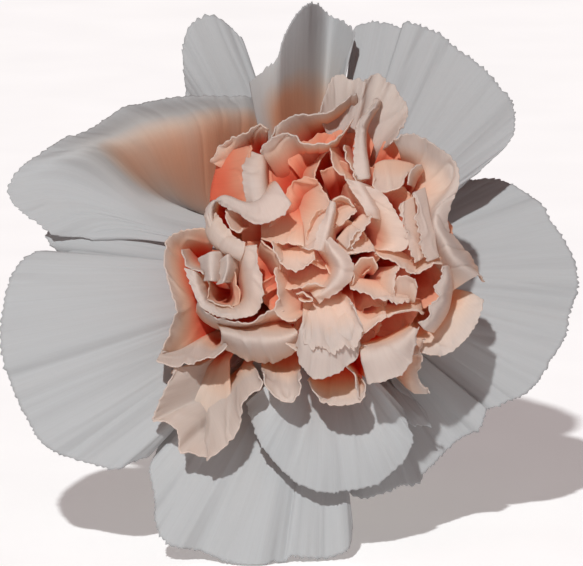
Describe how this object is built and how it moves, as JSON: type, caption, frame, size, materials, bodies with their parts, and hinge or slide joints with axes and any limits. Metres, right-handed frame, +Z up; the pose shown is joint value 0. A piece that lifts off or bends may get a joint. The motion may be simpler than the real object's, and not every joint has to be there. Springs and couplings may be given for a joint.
{
  "type": "cut carnation",
  "caption": "Cut flower lying on its side: a broad fringed double bloom in a tubular calyx, on a short bent stem with narrow paired leaves.",
  "frame": {"origin": "middle of the bounding box, on the surface that the flower lies on", "axes": "+Z up; +Y from the bloom's face back along the stem to its cut end; +X to the right as the bloom is looked at"},
  "size_m": [0.0753, 0.1392, 0.0703],
  "materials": {
    "petals": "matte",
    "calyx": "matte",
    "bracts": "matte",
    "stem": "matte",
    "leaves": "matte"
  },
  "bodies": {
    "root": {"bloom": "petals", "calyx": "calyx", "bracts": "bracts", "stem": "stem", "leaf_pair_upper": "leaves", "leaf_pair_lower": "leaves"}
  },
  "joints": []
}
